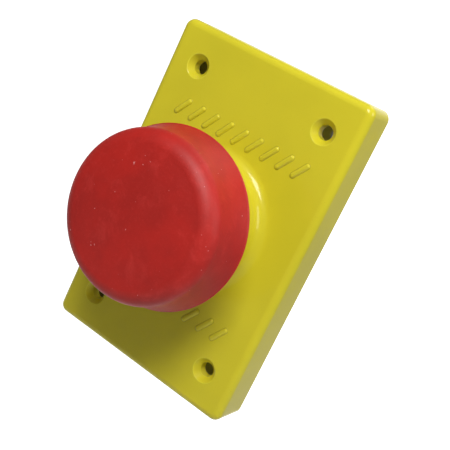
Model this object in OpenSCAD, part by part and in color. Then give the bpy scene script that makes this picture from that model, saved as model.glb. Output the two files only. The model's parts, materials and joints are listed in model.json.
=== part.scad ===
// Emergency stop button: a red mushroom head on a yellow cast cover for a wall box.
// Push the head in to stop, pull it out to reset. Millimetres.
// Every module is drawn as the cover lies on its back: x is the width, y the height, and z
// runs out of the front, from 0 at the cover's back rim. stand_up() then turns it to hang on a
// wall, with its front towards -Y and its top towards +Z.

/* [Cover] */
// Width of the cover
cover_w = 74.3; // [72:0.1:90]
// Height of the cover
cover_h = 114.3; // [110:0.1:130]
// Depth of the cover, from its back rim to its face
cover_d = 15.9; // [15.5:0.1:17]
// Radius of the cover's four upright corners
corner_r = 3.2; // [3:0.1:6]
// Rounding of the edge around the face
edge_r = 2.7; // [1:0.1:2.9]
// Thickness of the face
face_t = 3.2; // [2.6:0.1:3.4]
// Thickness of the side walls
wall_t = 3.0; // [2:0.1:4]

/* [Boss] */
// Radius of the boss that the button stands on
boss_r = 20.8; // [20:0.1:22]
// Height of the boss's top above the back rim
boss_top = 28; // [27:0.1:28.4]
// Hollow that blends the boss into the face
boss_fillet = 4.2; // [2:0.1:4.6]

/* [Screw holes] */
// Distance between the screw holes across the cover
hole_spacing_x = 50.3; // [46:0.1:52]
// Distance between the screw holes up the cover
hole_spacing_y = 87.2; // [84:0.1:92]
// Radius of the screw holes
hole_r = 2.45; // [1.8:0.05:2.8]
// Radius of the countersinks at the face
sink_r = 4.2; // [3.5:0.1:5]
// Depth of the countersinks
sink_depth = 2.0; // [1:0.1:2.4]

/* [Marks] */
// Bars in the row above the button, and in the row below it
mark_count = 9; // [4:1:9]
// Distance from one bar to the next
mark_pitch = 6; // [4:0.1:6.4]
// Height of the raised bars over the face
mark_raise = 0.6; // [0.3:0.1:1]

/* [Mushroom head] */
// Radius of the head's rim
rim_r = 29; // [28:0.1:30]
// Radius of the head's side where the shoulder starts
neck_r = 26.5; // [26:0.1:27]
// Height of the rim above the cover's back rim
rim_z = 38.3; // [37:0.1:39]
// Height of the side wall, from the rim to the shoulder
side_h = 12.5; // [12:0.1:13]
// Rounding of the shoulder
shoulder_r = 5.5; // [4:0.1:7]
// Rise of the domed face
dome_h = 1.2; // [0.5:0.1:2]
// Travel of the head from pulled out to pushed in
travel = 6.5; // [5:0.1:6.5]

/* [Hidden] */

safety_yellow = [0.80, 0.76, 0.14];
signal_red = [0.72, 0.14, 0.13];
steel = [0.72, 0.73, 0.75];
dark_steel = [0.45, 0.46, 0.48];
brass = [0.80, 0.62, 0.28];
silver = [0.86, 0.86, 0.84];
copper = [0.78, 0.48, 0.30];
black_rubber = [0.09, 0.09, 0.10];
grey_foam = [0.45, 0.45, 0.44];
black_plastic = [0.13, 0.13, 0.14];
grey_plastic = [0.52, 0.54, 0.55];
ivory_plastic = [0.86, 0.83, 0.74];
ground_green = [0.12, 0.48, 0.22];

$fn = 96;
slop = 0.01;
past = 1; // how far a cut reaches past the surface that it opens

// cover
cavity_w = cover_w - 2 * wall_t;
cavity_h = cover_h - 2 * wall_t;
cavity_z = cover_d - face_t;
gasket_t = 2;
gasket_w = 5;
gasket_play = 0.1;
gasket_ear_r = 10;
gasket_hole_r = 2.8;
hole_pad_r = 5.2;
hole_pad_z = 10.4;
rib_w = 3;
rib_proud = 2.6;
rib_at_y = [-40, -14, 14, 40];
rib_at_x = [-18, 18];
boss_draft = 0.4;
boss_round = 1.5;
pocket_r = 17;
pocket_z = boss_top - 3.6;
mount_hole_r = 11.15;
ground_y = -42;
ground_pad_r = 4.5;
ground_pad_z = 9;
ground_shank_r = 1.8;
ground_tap_fit = 0.02;
ground_head_r = 3.4;
ground_head_t = 2.4;
ground_washer_r = 3.8;
ground_slot = [0.9, 1];

// generic marks: slanted bars above and below the boss
mark_y = [29.6, -30.3];
mark_w = 1.9;
mark_h = 6.6;
mark_slant = 3.2;

// operator, from the front to the back
shoulder_start_z = rim_z + side_h;
face_r = neck_r - shoulder_r;
side_hollow = 0.5;
rim_round = 0.5;
cap_wall = 2.7;
roof_z = 52.6;
roof_round = [2, 1.2];
hollow_turn_z = shoulder_start_z - 3;
cap_rib_t = 1.6;
cap_rib_z = 46;
cap_rib_sunk = 0.5;
hub_z = 41.5;
hub_r = 9.5;
insert_r = 6.5;
insert_top = 51;
lock_washer_r = 7.2;
lock_washer_gap = 0.8;
bushing_front = 34;
sleeve_r = 11;
nut_r = 15.6;
nut_notch = [1.2, 3, 2.8];
washer_t = 0.8;
ring_washer_r = 16.4;
nut_z = boss_top + washer_t;
nut_t = 4;
flange_r = 16.2;
gland_t = 0.8;
flange_top = pocket_z - gland_t;
flange_z = flange_top - 2.7;
stem_r = 5;
stem_fit = 0.04;
thread_r = 4;
thread_end = insert_top - 1.5;
stem_shoulder_z = hub_z - 1;
detent_z = 28;
detent_ring_r = 5.95;
detent_wire_r = 1.25;
detent_room = [0.1, 1.4];
groove_wire_r = 1.45;
locating_pin_r = 1.2;
locating_pin_x = 13.8;
locating_pin_in = 1.6;
locating_pin_back = 1.4;
o_ring_z = 23.2;
o_ring_wire_r = 0.9;
o_ring_room = [0.1, 1];
o_ring_stretch = 0.02;
wiper_z = 31;
wiper_r = 8;

// actuator plate that carries the push to the two contact blocks
plate_top = flange_z - 0.4;
plate_t = 2.4;
plate_z = plate_top - plate_t;
plate_w = 21;
plate_h = 9;
tail_r = 3;
clip_t = 0.8;
clip_r = 4.4;
clip_gap = 2.8;
clip_groove_r = 2.3;
tail_end = plate_z - clip_t - 1.1;
block_front = 9;
skirt_r = 13.2;
key_rib_gap = 0.3;
key_rib_w = 1.2;
key_rib_x = 11.6;
key_rib_l = 5;
mount_plate_w = 31;
mount_plate_h = 46;
mount_plate_t = 2.5;
housing_screw_y = 14.9;
housing_screw_r = 0.9;
housing_head_r = 1.6;
housing_head_t = 1.6;
housing_screw_in = 1.6;
housing_slot = [0.6, 0.7];

// contact blocks: the normally closed one is at -side, the normally open one at +side
block_x = 8;
block_w = 15;
block_h = 36;
block_back = -20;
block_cover_t = 2;
body_top = block_front - block_cover_t;
ear_y = 20;
ear_h = 44;
ear_w = 8;
ear_t = 2;
chamber_w = 10.8;
chamber_h = 23;
chamber_z = -17;
plunger_r = 2.4;
plunger_fit = 0.06;
plunger_top = plate_z - 0.3;
carrier_w = 7;
carrier_top = 6.5;
carrier_z = -5;
strip_t = 1;
strip_w = 7;
strip_in = 6.6;
leg_y = 12.9;
foot_z = -11;
terminal_y = 15.6;
terminal_room_w = 10;
terminal_room_h = 10;
terminal_hole_in = 6;
strip_play = 0.4;
tip_y = 8.4;
tip_r = 1.7;
tip_t = 0.8;
tip_gap = 0.05;
bridge_t = 0.8;
bridge_w = 4;
bridge_h = 21;
nc_strip_z = 3;
nc_bridge_z = nc_strip_z - 2 * tip_t - tip_gap - bridge_t;
nc_window = [-3.2, nc_bridge_z + bridge_t];
no_bridge_z = -0.8;
no_window = [no_bridge_z, 3.8];
no_strip_z = no_bridge_z - travel - 2 * tip_t - tip_gap - strip_t;
screw_shank_r = 1.5;
terminal_head_r = 2.3;
terminal_screw_in = 5.5;
block_head_r = 2.0;
screw_head_t = 2;
screw_slot = [0.8, 1];
clamp_t = 1;
clamp_w = 8;
clamp_h = 4.6;
contact_spring_r = 1.4;
contact_wire_r = 0.25;
contact_turns = 3;
return_spring_r = 2.6;
return_wire_r = 0.3;
return_turns = 5;

// Turns a piece drawn lying on its back to the way it hangs on the wall.
module stand_up() {
    rotate([90, 0, 0]) children();
}

// Points along an arc round [cx, cy], from angle a0 to a1.
function arc(cx, cy, r, a0, a1, steps = 8) =
    [for (i = [0:steps]) let (a = a0 + (a1 - a0) * i / steps) [cx + r * cos(a), cy + r * sin(a)]];

module tube(r_out, r_in, z0, z1) {
    translate([0, 0, z0]) difference() {
        cylinder(r = r_out, h = z1 - z0);
        translate([0, 0, -past]) cylinder(r = r_in, h = z1 - z0 + 2 * past);
    }
}

module rod(r, z0, z1) {
    translate([0, 0, z0]) cylinder(r = r, h = z1 - z0);
}

module ring(r, wire_r, z) {
    translate([0, 0, z]) rotate_extrude() translate([r, 0]) circle(r = wire_r, $fn = 48);
}

// A box centred on the axis in x and y, from z0 up to z1.
module block(w, h, z0, z1) {
    translate([-w / 2, -h / 2, z0]) cube([w, h, z1 - z0]);
}

module at_screw_holes() {
    for (x = [-1, 1], y = [-1, 1])
        translate([x * hole_spacing_x / 2, y * hole_spacing_y / 2, 0]) children();
}

module at_terminals() {
    for (x = [-1, 1], y = [-1, 1]) translate([x * block_x, y * terminal_y, 0]) children();
}

// ---- cover ------------------------------------------------------------------------------

module cover_corner_post() {
    rotate_extrude($fn = 32)
        polygon(concat([[0, 0], [corner_r, 0]],
                       arc(corner_r - edge_r, cover_d - edge_r, edge_r, 0, 90, 6),
                       [[0, cover_d]]));
}

module boss_outside() {
    base_r = boss_r + boss_draft + boss_fillet;
    rotate_extrude()
        polygon(concat([[0, cover_d - past], [base_r, cover_d - past]],
                       arc(base_r, cover_d + boss_fillet, boss_fillet, 270, 180),
                       arc(boss_r - boss_round, boss_top - boss_round, boss_round, 0, 90, 6),
                       [[0, boss_top]]));
}

// A slanted bar with round ends.
module mark() {
    slant_angle = atan2(mark_slant, mark_h - mark_w);
    core_l = norm([mark_slant, mark_h - mark_w]);
    rotate([0, 0, -slant_angle])
        linear_extrude(mark_raise + slop)
            polygon(concat(arc(0, core_l / 2, mark_w / 2, 0, 180),
                           arc(0, -core_l / 2, mark_w / 2, 180, 360)));
}

module marks() {
    for (y = mark_y, i = [0:mark_count - 1])
        translate([(i - (mark_count - 1) / 2) * mark_pitch, y, cover_d - slop]) mark();
}

// Ribs inside the walls: the gasket rests on their ends.
module gasket_ribs() {
    for (side = [-1, 1]) {
        for (y = rib_at_y)
            translate([side * (cavity_w - rib_proud) / 2, y, 0])
                block(rib_proud + 2 * slop, rib_w, gasket_t, cavity_z + slop);
        for (x = rib_at_x)
            translate([x, side * (cavity_h - rib_proud) / 2, 0])
                block(rib_w, rib_proud + 2 * slop, gasket_t, cavity_z + slop);
    }
}

module cover() {
    color(safety_yellow) stand_up() difference() {
        union() {
            difference() {
                union() {
                    hull()
                        for (x = [-1, 1], y = [-1, 1])
                            translate([x * (cover_w / 2 - corner_r), y * (cover_h / 2 - corner_r), 0])
                                cover_corner_post();
                    boss_outside();
                    marks();
                }
                block(cavity_w, cavity_h, -past, cavity_z);
                rod(pocket_r, cavity_z - past, pocket_z);
            }
            gasket_ribs();
            translate([0, ground_y, 0]) rod(ground_pad_r, ground_pad_z, cavity_z + slop);
            at_screw_holes() rod(hole_pad_r, hole_pad_z, cavity_z + slop);
        }
        rod(mount_hole_r, pocket_z - past, boss_top + past);
        translate([0, ground_y, 0])
            rod(ground_shank_r + ground_tap_fit, ground_pad_z - past, cavity_z + past);
        translate([locating_pin_x, 0, 0])
            rod(locating_pin_r, pocket_z - past, pocket_z + locating_pin_in);
        at_screw_holes() {
            rod(hole_r, -past, cover_d + past);
            translate([0, 0, cover_d - sink_depth])
                cylinder(r1 = hole_r, r2 = sink_r, h = sink_depth);
            rod(sink_r, cover_d - slop, cover_d + past);
        }
    }
}

// A frame of foam rubber with an ear round each screw hole.
module cover_gasket() {
    gasket_size = [cavity_w - 2 * gasket_play, cavity_h - 2 * gasket_play];
    color(grey_foam) stand_up() difference() {
        intersection() {
            block(gasket_size[0], gasket_size[1], 0, gasket_t);
            union() {
                difference() {
                    block(cover_w, cover_h, 0, gasket_t);
                    block(cavity_w - 2 * gasket_w, cavity_h - 2 * gasket_w, -past, gasket_t + past);
                }
                at_screw_holes() rod(gasket_ear_r, 0, gasket_t);
            }
        }
        at_screw_holes() rod(gasket_hole_r, -past, gasket_t + past);
    }
}

module ground_washer() {
    color(brass) stand_up() translate([0, ground_y, 0])
        tube(ground_washer_r, ground_shank_r, ground_pad_z - washer_t, ground_pad_z);
}

module ground_screw() {
    head_z = ground_pad_z - washer_t - ground_head_t;
    color(ground_green) stand_up() translate([0, ground_y, 0]) difference() {
        union() {
            translate([0, 0, head_z]) cylinder(r = ground_head_r, h = ground_head_t, $fn = 6);
            rod(ground_shank_r, head_z + past, cavity_z);
        }
        block(3 * ground_head_r, ground_slot[0], head_z - past, head_z + ground_slot[1]);
    }
}

// ---- button: the pieces that move with the head -----------------------------------------

// The side wall leans in from the rim to the shoulder and is slightly hollow.
function side_radius(t) = rim_r + (neck_r - rim_r) * t - side_hollow * sin(180 * t);

module head_outside() {
    side = [for (i = [1:8]) let (t = i / 8) [side_radius(t), rim_z + side_h * t]];
    dome = [for (i = [1:8]) let (r = face_r * (1 - i / 8))
        [r, shoulder_start_z + shoulder_r + dome_h * (1 - pow(r / face_r, 2))]];
    rotate_extrude($fn = 128)
        polygon(concat([[0, rim_z]], arc(rim_r - rim_round, rim_z + rim_round, rim_round, 270, 360, 4),
                       side, arc(face_r, shoulder_start_z, shoulder_r, 6, 90, 10), dome));
}

module head_hollow() {
    rotate_extrude($fn = 128)
        polygon([[hub_r, rim_z - past], [rim_r - cap_wall, rim_z - past], [rim_r - cap_wall, rim_z],
                 [neck_r - cap_wall - side_hollow, hollow_turn_z], [face_r, roof_z - roof_round[1]],
                 [face_r - roof_round[0], roof_z], [hub_r, roof_z]]);
}

module mushroom_cap() {
    rib_l = neck_r - cap_wall - hub_r + 2 * cap_rib_sunk;
    color(signal_red) stand_up() difference() {
        union() {
            difference() {
                head_outside();
                head_hollow();
            }
            for (a = [0:45:315])
                rotate([0, 0, a]) translate([hub_r - cap_rib_sunk, -cap_rib_t / 2, cap_rib_z])
                    cube([rib_l, cap_rib_t, roof_z - cap_rib_z + cap_rib_sunk]);
        }
        rod(hub_r + past, rim_z - past, hub_z);
        rod(insert_r, hub_z - past, insert_top);
    }
}

module cap_insert() {
    color(brass) stand_up() difference() {
        rod(insert_r, hub_z, insert_top);
        rod(thread_r, hub_z - past, insert_top - 1);
    }
}

module cap_lock_washer() {
    color(steel) stand_up() difference() {
        tube(lock_washer_r, thread_r, stem_shoulder_z, hub_z);
        translate([0, -lock_washer_gap / 2, stem_shoulder_z - past])
            cube([lock_washer_r + past, lock_washer_gap, washer_t + 3 * past]);
    }
}

module stem() {
    color(steel) stand_up() difference() {
        union() {
            rod(stem_r, plate_top, stem_shoulder_z);
            rod(thread_r, stem_shoulder_z - past, thread_end);
            rod(tail_r, tail_end, plate_top + past);
        }
        for (z = [detent_z, detent_z + travel]) ring(detent_ring_r, groove_wire_r, z);
        tube(tail_r + past, clip_groove_r, plate_z - clip_t, plate_z);
    }
}

module actuator_plate() {
    color(dark_steel) stand_up() difference() {
        block(plate_w, plate_h, plate_z, plate_top);
        rod(tail_r, plate_z - past, plate_top + past);
    }
}

module e_clip() {
    color(steel) stand_up() difference() {
        tube(clip_r, clip_groove_r, plate_z - clip_t, plate_z);
        translate([0, -clip_gap / 2, plate_z - clip_t - past])
            cube([clip_r + past, clip_gap, clip_t + 2 * past]);
    }
}

// ---- operator: the pieces that hold and seal the stem -----------------------------------

module operator_bushing() {
    color(dark_steel) stand_up() difference() {
        union() {
            rod(sleeve_r, flange_z, bushing_front);
            rod(flange_r, flange_z, flange_top);
        }
        rod(stem_r + stem_fit, flange_z - past, bushing_front + past);
        rod(wiper_r, wiper_z, bushing_front + past);
        tube(detent_ring_r + detent_wire_r + detent_room[0], stem_r - past,
             detent_z - detent_room[1], detent_z + detent_room[1]);
        tube(stem_r + 2 * o_ring_wire_r + o_ring_room[0], stem_r - past,
             o_ring_z - o_ring_room[1], o_ring_z + o_ring_room[1]);
        translate([locating_pin_x, 0, 0])
            rod(locating_pin_r, flange_top - locating_pin_back, flange_top + past);
        for (y = [-1, 1]) translate([0, y * housing_screw_y, 0])
            rod(housing_screw_r, flange_z - past, flange_z + housing_screw_in);
    }
}

module locating_pin() {
    color(steel) stand_up() translate([locating_pin_x, 0, 0])
        rod(locating_pin_r, flange_top - locating_pin_back, pocket_z + locating_pin_in);
}

module bushing_gasket() {
    color(black_rubber) stand_up() difference() {
        tube(flange_r, sleeve_r, flange_top, pocket_z);
        translate([locating_pin_x, 0, 0]) rod(locating_pin_r, flange_top - past, pocket_z + past);
    }
}

module ring_washer() {
    color(black_plastic) stand_up() tube(ring_washer_r, sleeve_r, boss_top, nut_z);
}

module ring_nut() {
    color(steel) stand_up() difference() {
        tube(nut_r, sleeve_r, nut_z, nut_z + nut_t);
        for (a = [0:45:315])
            rotate([0, 0, a])
                translate([nut_r - nut_notch[0], -nut_notch[1] / 2, nut_z + nut_t - nut_notch[2]])
                    cube([nut_notch[0] + past, nut_notch[1], nut_notch[2] + past]);
    }
}

module wiper_seal() {
    color(black_rubber) stand_up()
        tube(wiper_r, stem_r + stem_fit, wiper_z, bushing_front);
}

module stem_o_ring() {
    color(black_rubber) stand_up() ring(stem_r + o_ring_stretch + o_ring_wire_r, o_ring_wire_r, o_ring_z);
}

module detent_spring() {
    color(steel) stand_up() ring(detent_ring_r, detent_wire_r, detent_z);
}

module actuator_housing() {
    rib_y = plate_h / 2 + key_rib_gap;
    color(black_plastic) stand_up() difference() {
        union() {
            tube(flange_r, skirt_r, block_front, flange_z);
            difference() {
                block(mount_plate_w, mount_plate_h, block_front, block_front + mount_plate_t);
                rod(skirt_r, block_front - past, block_front + mount_plate_t + past);
            }
            intersection() {
                rod(skirt_r + past, block_front, flange_z);
                for (x = [-1, 1], y = [-1, 1])
                    translate([x * key_rib_x, y * (rib_y + key_rib_w / 2), 0])
                        block(key_rib_l, key_rib_w, block_front, flange_z);
            }
        }
        for (y = [-1, 1]) translate([0, y * housing_screw_y, 0]) {
            rod(housing_screw_r, block_front - past, flange_z + past);
            rod(housing_head_r, block_front - past, block_front + housing_head_t);
        }
        for (x = [-1, 1], y = [-1, 1]) translate([x * block_x, y * ear_y, 0])
            rod(screw_shank_r, block_front - past, block_front + mount_plate_t + past);
    }
}

module housing_screws() {
    color(steel) stand_up() for (y = [-1, 1]) translate([0, y * housing_screw_y, 0]) difference() {
        union() {
            rod(housing_head_r, block_front, block_front + housing_head_t);
            rod(housing_screw_r, block_front + past, flange_z + housing_screw_in);
        }
        block(3 * housing_head_r, housing_slot[0], block_front - past, block_front + housing_slot[1]);
    }
}

// ---- contact blocks ---------------------------------------------------------------------

// The two fixed strips of one block: contact arm, leg and terminal foot.
module strips(arm_z) {
    for (flip = [0, 1]) mirror([0, flip, 0]) {
        translate([-strip_w / 2, strip_in, arm_z]) cube([strip_w, leg_y + strip_t - strip_in, strip_t]);
        translate([-strip_w / 2, leg_y, foot_z]) cube([strip_w, strip_t, arm_z + strip_t - foot_z]);
        translate([-strip_w / 2, leg_y, foot_z]) cube([strip_w, block_h / 2 - leg_y, strip_t]);
    }
}

module block_housing(arm_z) {
    difference() {
        union() {
            block(block_w, block_h, block_back, body_top);
            block(ear_w, ear_h, body_top - ear_t, body_top);
        }
        block(chamber_w, chamber_h, chamber_z, body_top + past);
        strips(arm_z);
        for (y = [-1, 1]) {
            translate([0, y * (leg_y + terminal_room_h / 2), 0])
                block(terminal_room_w, terminal_room_h, block_back - past, foot_z);
            translate([0, y * terminal_y, 0]) rod(screw_shank_r, foot_z, foot_z + terminal_hole_in);
            translate([0, y * ear_y, 0])
                rod(screw_shank_r, body_top - ear_t - past, body_top + past);
        }
    }
}

module block_cover() {
    difference() {
        union() {
            block(block_w, block_h, body_top, block_front);
            block(ear_w, ear_h, body_top, block_front);
        }
        rod(plunger_r + plunger_fit, body_top - past, block_front + past);
        for (y = [-1, 1]) translate([0, y * ear_y, 0])
            rod(screw_shank_r, body_top - past, block_front + past);
    }
}

module terminals(arm_z) {
    difference() {
        strips(arm_z);
        for (y = [-1, 1]) translate([0, y * terminal_y, 0])
            rod(screw_shank_r, foot_z - past, foot_z + strip_t + past);
    }
}

// Plunger with the carrier that holds the bridge in a window.
module plunger(window) {
    difference() {
        union() {
            rod(plunger_r, carrier_top - past, plunger_top);
            block(carrier_w, carrier_w, carrier_z, carrier_top);
        }
        block(bridge_w + strip_play, carrier_w + 2 * past, window[0], window[1]);
    }
}

module bridge(z) {
    block(bridge_w, bridge_h, z, z + bridge_t);
}

module tips(z) {
    for (y = [-1, 1]) translate([0, y * tip_y, 0]) rod(tip_r, z, z + tip_t);
}

// Helical spring of round wire, centred on the z axis.
module spring(r, wire_r, z0, z1, turns, sides = 6, steps = 10) {
    count = turns * steps;
    rise = z1 - z0 - 2 * wire_r;
    points = [for (i = [0:count], k = [0:sides - 1])
        let (a = 360 * i / steps, b = 360 * k / sides, d = r + wire_r * cos(b))
            [d * cos(a), d * sin(a), z0 + wire_r + rise * i / count + wire_r * sin(b)]];
    walls = [for (i = [0:count - 1], k = [0:sides - 1])
        let (n = (k + 1) % sides)
            [i * sides + k, i * sides + n, (i + 1) * sides + n, (i + 1) * sides + k]];
    ends = [[for (k = [sides - 1:-1:0]) k], [for (k = [0:sides - 1]) count * sides + k]];
    polyhedron(points, concat(walls, ends));
}

module nc_side() {
    stand_up() translate([-block_x, 0, 0]) children();
}

module no_side() {
    stand_up() translate([block_x, 0, 0]) children();
}

module nc_block_housing() { color(grey_plastic) nc_side() block_housing(nc_strip_z); }
module nc_block_cover() { color(signal_red) nc_side() block_cover(); }
module nc_terminals() { color(brass) nc_side() terminals(nc_strip_z); }
module nc_plunger() { color(ivory_plastic) nc_side() plunger(nc_window); }
module nc_bridge() { color(copper) nc_side() bridge(nc_bridge_z); }
module nc_moving_tips() { color(silver) nc_side() tips(nc_bridge_z + bridge_t); }

module nc_contact_spring() {
    color(steel) nc_side() spring(contact_spring_r, contact_wire_r, nc_window[0], nc_bridge_z, contact_turns);
}

module nc_return_spring() {
    color(steel) nc_side() spring(return_spring_r, return_wire_r, chamber_z, carrier_z, return_turns);
}

module no_block_housing() { color(grey_plastic) no_side() block_housing(no_strip_z); }
module no_block_cover() { color(ground_green) no_side() block_cover(); }
module no_terminals() { color(brass) no_side() terminals(no_strip_z); }
module no_plunger() { color(ivory_plastic) no_side() plunger(no_window); }
module no_bridge() { color(copper) no_side() bridge(no_bridge_z); }
module no_moving_tips() { color(silver) no_side() tips(no_bridge_z - tip_t); }

module no_contact_spring() {
    color(steel) no_side()
        spring(contact_spring_r, contact_wire_r, no_bridge_z + bridge_t, no_window[1], contact_turns);
}

module no_return_spring() {
    color(steel) no_side() spring(return_spring_r, return_wire_r, chamber_z, carrier_z, return_turns);
}

module fixed_tips() {
    color(silver) {
        nc_side() tips(nc_strip_z - tip_t);
        no_side() tips(no_strip_z + strip_t);
    }
}

module terminal_clamps() {
    color(steel) stand_up() at_terminals() difference() {
        block(clamp_w, clamp_h, foot_z - clamp_t, foot_z);
        rod(screw_shank_r, foot_z - clamp_t - past, foot_z + past);
    }
}

module terminal_screws() {
    head_z = foot_z - clamp_t - screw_head_t;
    color(steel) stand_up() at_terminals() difference() {
        union() {
            rod(terminal_head_r, head_z, head_z + screw_head_t);
            rod(screw_shank_r, head_z + past, foot_z + terminal_screw_in);
        }
        block(3 * terminal_head_r, screw_slot[0], head_z - past, head_z + screw_slot[1]);
    }
}

module block_screws() {
    head_z = body_top - ear_t - screw_head_t;
    color(steel) stand_up() for (x = [-1, 1], y = [-1, 1])
        translate([x * block_x, y * ear_y, 0]) difference() {
            union() {
                rod(block_head_r, head_z, head_z + screw_head_t);
                rod(screw_shank_r, head_z + past, block_front + mount_plate_t);
            }
            block(3 * block_head_r, screw_slot[0], head_z - past, head_z + screw_slot[1]);
        }
}

cover();
cover_gasket();
ground_screw();
ground_washer();
mushroom_cap();
cap_insert();
cap_lock_washer();
stem();
actuator_plate();
e_clip();
operator_bushing();
locating_pin();
bushing_gasket();
ring_washer();
ring_nut();
wiper_seal();
stem_o_ring();
detent_spring();
actuator_housing();
housing_screws();
nc_block_housing();
nc_block_cover();
nc_terminals();
nc_plunger();
nc_bridge();
nc_moving_tips();
nc_contact_spring();
nc_return_spring();
no_block_housing();
no_block_cover();
no_terminals();
no_plunger();
no_bridge();
no_moving_tips();
no_contact_spring();
no_return_spring();
fixed_tips();
terminal_clamps();
terminal_screws();
block_screws();
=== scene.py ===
# %% [markdown]
# # An emergency stop button
# This button hangs on a wall box: a hollow yellow casting covers the box, and a red mushroom head
# stands on the casting's round boss. Behind it sit two contact blocks with their wiring screws.
# The design, with every size and joint, comes in from the frame. This file makes the finish: smooth
# skins for the cast and moulded pieces, softened edges on the small hardware, and a material for
# every surface.

# %% Load the frame
import json
import math

import bmesh
import bpy
import numpy as np
from mathutils import Matrix, Vector
from mathutils.geometry import delaunay_2d_cdt


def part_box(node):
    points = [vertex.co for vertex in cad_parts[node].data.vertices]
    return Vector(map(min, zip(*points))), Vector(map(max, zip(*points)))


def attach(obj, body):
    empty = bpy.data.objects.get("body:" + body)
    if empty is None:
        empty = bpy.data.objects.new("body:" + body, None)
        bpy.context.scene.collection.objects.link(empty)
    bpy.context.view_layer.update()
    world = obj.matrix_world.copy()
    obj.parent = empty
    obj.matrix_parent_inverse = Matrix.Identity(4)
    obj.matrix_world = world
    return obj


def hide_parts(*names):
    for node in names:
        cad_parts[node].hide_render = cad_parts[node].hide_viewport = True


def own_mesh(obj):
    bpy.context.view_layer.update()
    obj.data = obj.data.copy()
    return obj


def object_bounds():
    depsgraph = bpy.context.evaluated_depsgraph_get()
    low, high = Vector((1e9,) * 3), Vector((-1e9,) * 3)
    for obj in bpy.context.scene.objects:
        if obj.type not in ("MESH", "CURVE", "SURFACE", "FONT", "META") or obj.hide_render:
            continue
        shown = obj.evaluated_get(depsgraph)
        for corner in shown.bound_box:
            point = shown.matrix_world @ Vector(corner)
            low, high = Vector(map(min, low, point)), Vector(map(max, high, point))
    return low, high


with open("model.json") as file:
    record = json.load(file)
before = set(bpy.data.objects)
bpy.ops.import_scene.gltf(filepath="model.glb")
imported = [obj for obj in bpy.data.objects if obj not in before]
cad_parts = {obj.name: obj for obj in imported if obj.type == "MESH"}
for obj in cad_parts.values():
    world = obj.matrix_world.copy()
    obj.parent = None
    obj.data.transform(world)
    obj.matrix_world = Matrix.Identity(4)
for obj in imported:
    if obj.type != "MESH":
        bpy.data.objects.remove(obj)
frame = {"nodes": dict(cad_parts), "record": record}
cad_box = [list(corner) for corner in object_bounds()]

# %% [markdown]
# ## The camera
# The camera looks down on the button from its upper right and is rolled about its own view line.
# A camera placed by azimuth, elevation and roll around a target is easier to reason about than one
# placed by hand, and it is the same every run.

# %% Camera
view_target = Vector((0.0015, 0.0003, -0.0018))
view_distance = 0.289
view_azimuth = 24.71
view_elevation = 12.84
view_roll = 25.86
view_lens = 66.5


def look_from(azimuth, elevation, roll, distance, target):
    """The camera's place and turn: from the target go back along the view line by the distance.
    The view line is -Y turned by the azimuth about Z and raised by the elevation; roll turns the
    picture about that line."""
    turn = Matrix.Rotation(math.radians(azimuth), 4, "Z")
    turn = turn @ Matrix.Rotation(math.radians(90 - elevation), 4, "X")
    turn = turn @ Matrix.Rotation(math.radians(roll), 4, "Z")
    return Matrix.Translation(target) @ turn @ Matrix.Translation((0, 0, distance))


camera_data = bpy.data.cameras.new("camera")
camera_data.lens = view_lens
camera_data.sensor_width = 36
camera_data.clip_start = 0.01
camera = bpy.data.objects.new("camera", camera_data)
camera.matrix_world = look_from(view_azimuth, view_elevation, view_roll, view_distance, view_target)
bpy.context.scene.collection.objects.link(camera)
bpy.context.scene.camera = camera
print("camera at", [round(c, 4) for c in camera.matrix_world.translation])

# %% [markdown]
# ## Shader maths as expressions
# A node graph is easier to read as a formula. `Wire` wraps a socket, and each operator adds the
# Math node that does the sum. `Finish` starts a material and makes every other kind of node.

# %% Wire and Finish
class Wire:
    """An output socket that Python's operators work on."""

    def __init__(self, finish, socket):
        self.finish, self.socket = finish, socket

    def sum_with(self, operation, first, second):
        return self.finish.node("ShaderNodeMath", {"operation": operation}, [first, second])

    def __add__(self, other):
        return self.sum_with("ADD", self, other)

    def __radd__(self, other):
        return self.sum_with("ADD", other, self)

    def __sub__(self, other):
        return self.sum_with("SUBTRACT", self, other)

    def __rsub__(self, other):
        return self.sum_with("SUBTRACT", other, self)

    def __mul__(self, other):
        return self.sum_with("MULTIPLY", self, other)

    def __rmul__(self, other):
        return self.sum_with("MULTIPLY", other, self)

    def clamped(self, low, high):
        """The value moved from low..high to 0..1, and held there, with a smooth start and end."""
        settings = {"interpolation_type": "SMOOTHSTEP"}
        values = {"Value": self, "From Min": low, "From Max": high}
        return self.finish.node("ShaderNodeMapRange", settings, values)


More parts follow.
